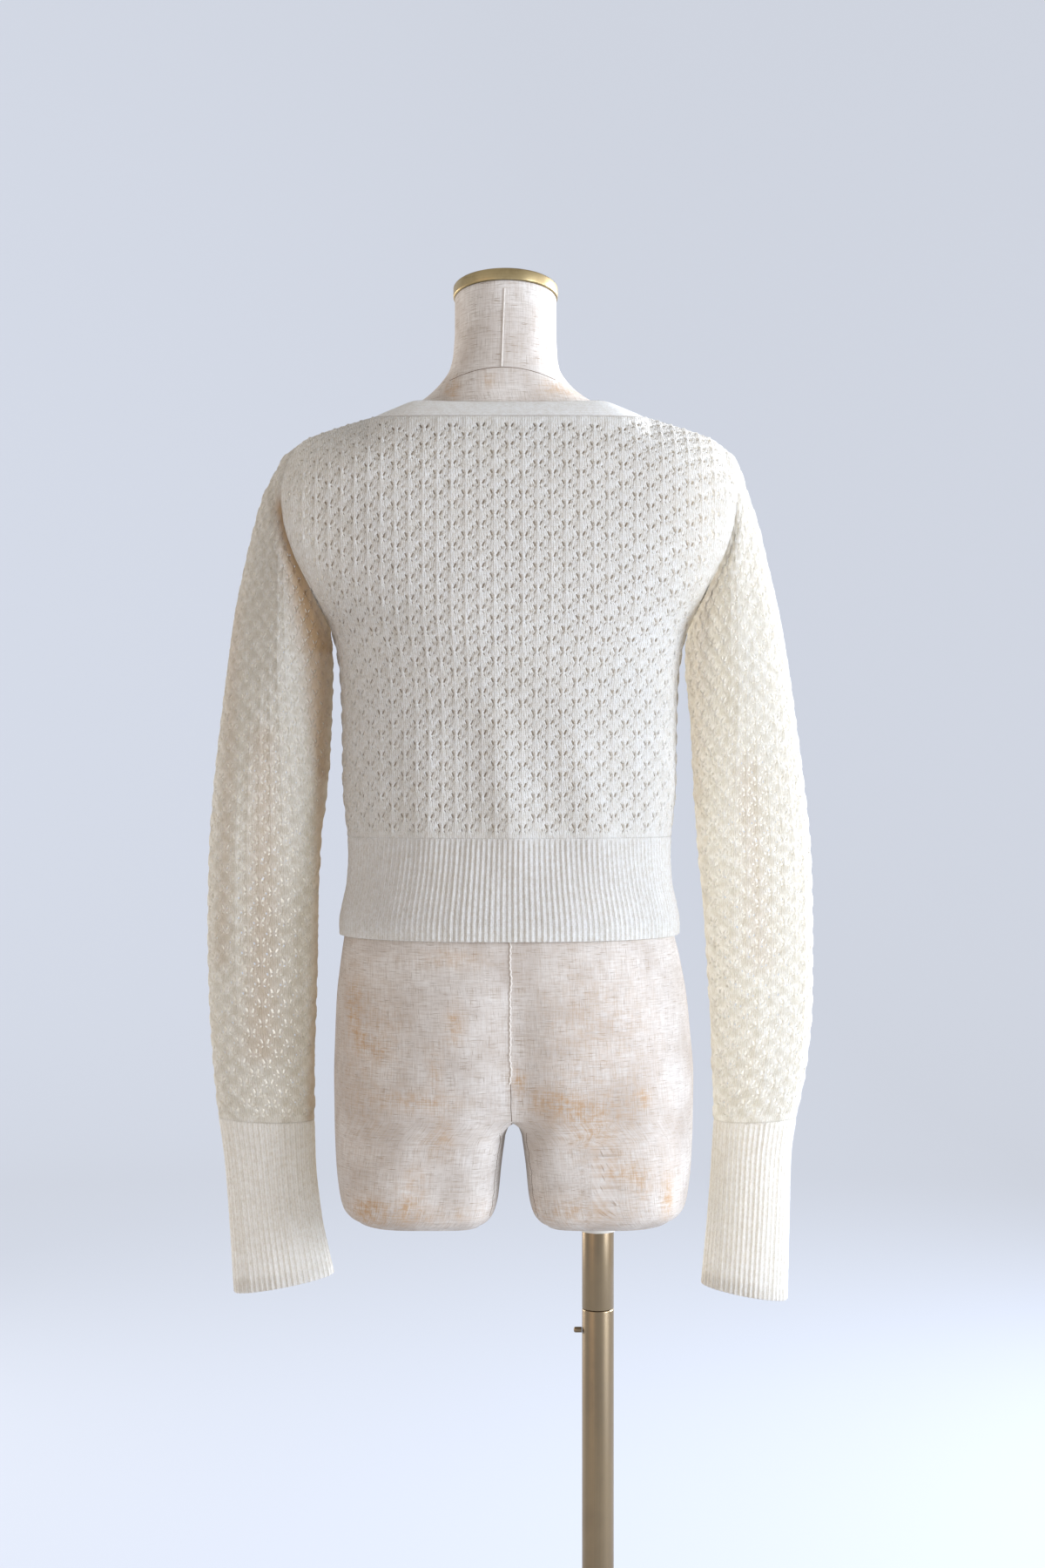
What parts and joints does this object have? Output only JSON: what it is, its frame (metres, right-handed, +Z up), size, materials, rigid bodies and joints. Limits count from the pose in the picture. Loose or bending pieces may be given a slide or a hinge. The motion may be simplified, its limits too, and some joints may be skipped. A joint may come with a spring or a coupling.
{
  "type": "cardigan on a dress form",
  "caption": "Cropped lace-knit cardigan with ribbed hem and long ribbed cuffs, worn by a limbless linen dress form on a single pole stand.",
  "frame": {"origin": "centre of the base plate's underside, on the floor under the middle of the garment", "axes": "+Z up, the front of the cardigan faces -Y, the wearer's left side is at +X"},
  "size_m": [0.5324, 0.36, 1.4949],
  "materials": {
    "lace_knit": "soft brushed lace knit in off-white wool",
    "rib_knit": "soft one by one rib knit in off-white wool",
    "band_knit": "plain band knit in off-white wool",
    "button_shell": "shell-like polished button",
    "linen": "slubby natural linen stretched over the form",
    "cap_brass": "brushed brass",
    "pole_brass": "antique brass plated tube",
    "collar_plastic": "moulded off-white plastic",
    "base_iron": "antique bronze lacquer on steel plate"
  },
  "bodies": {
    "root": {"back": "lace_knit", "front_left": "lace_knit", "front_right": "lace_knit", "sleeve_left": "lace_knit", "sleeve_right": "lace_knit", "cuff_left": "rib_knit", "cuff_right": "rib_knit", "hem_back": "rib_knit", "hem_front_left": "rib_knit", "hem_front_right": "rib_knit", "neck_band": "band_knit", "band_left": "band_knit", "band_right": "band_knit", "button_1": "button_shell", "button_2": "button_shell", "button_3": "button_shell", "button_4": "button_shell", "button_5": "button_shell", "button_6": "button_shell", "button_7": "button_shell", "form_body": "linen", "neck_cap": "cap_brass", "pole_collar": "collar_plastic", "pole_upper": "pole_brass", "pole_lower": "pole_brass", "pole_pin": "pole_brass", "base_socket": "base_iron", "base_plate": "base_iron"}
  },
  "joints": []
}
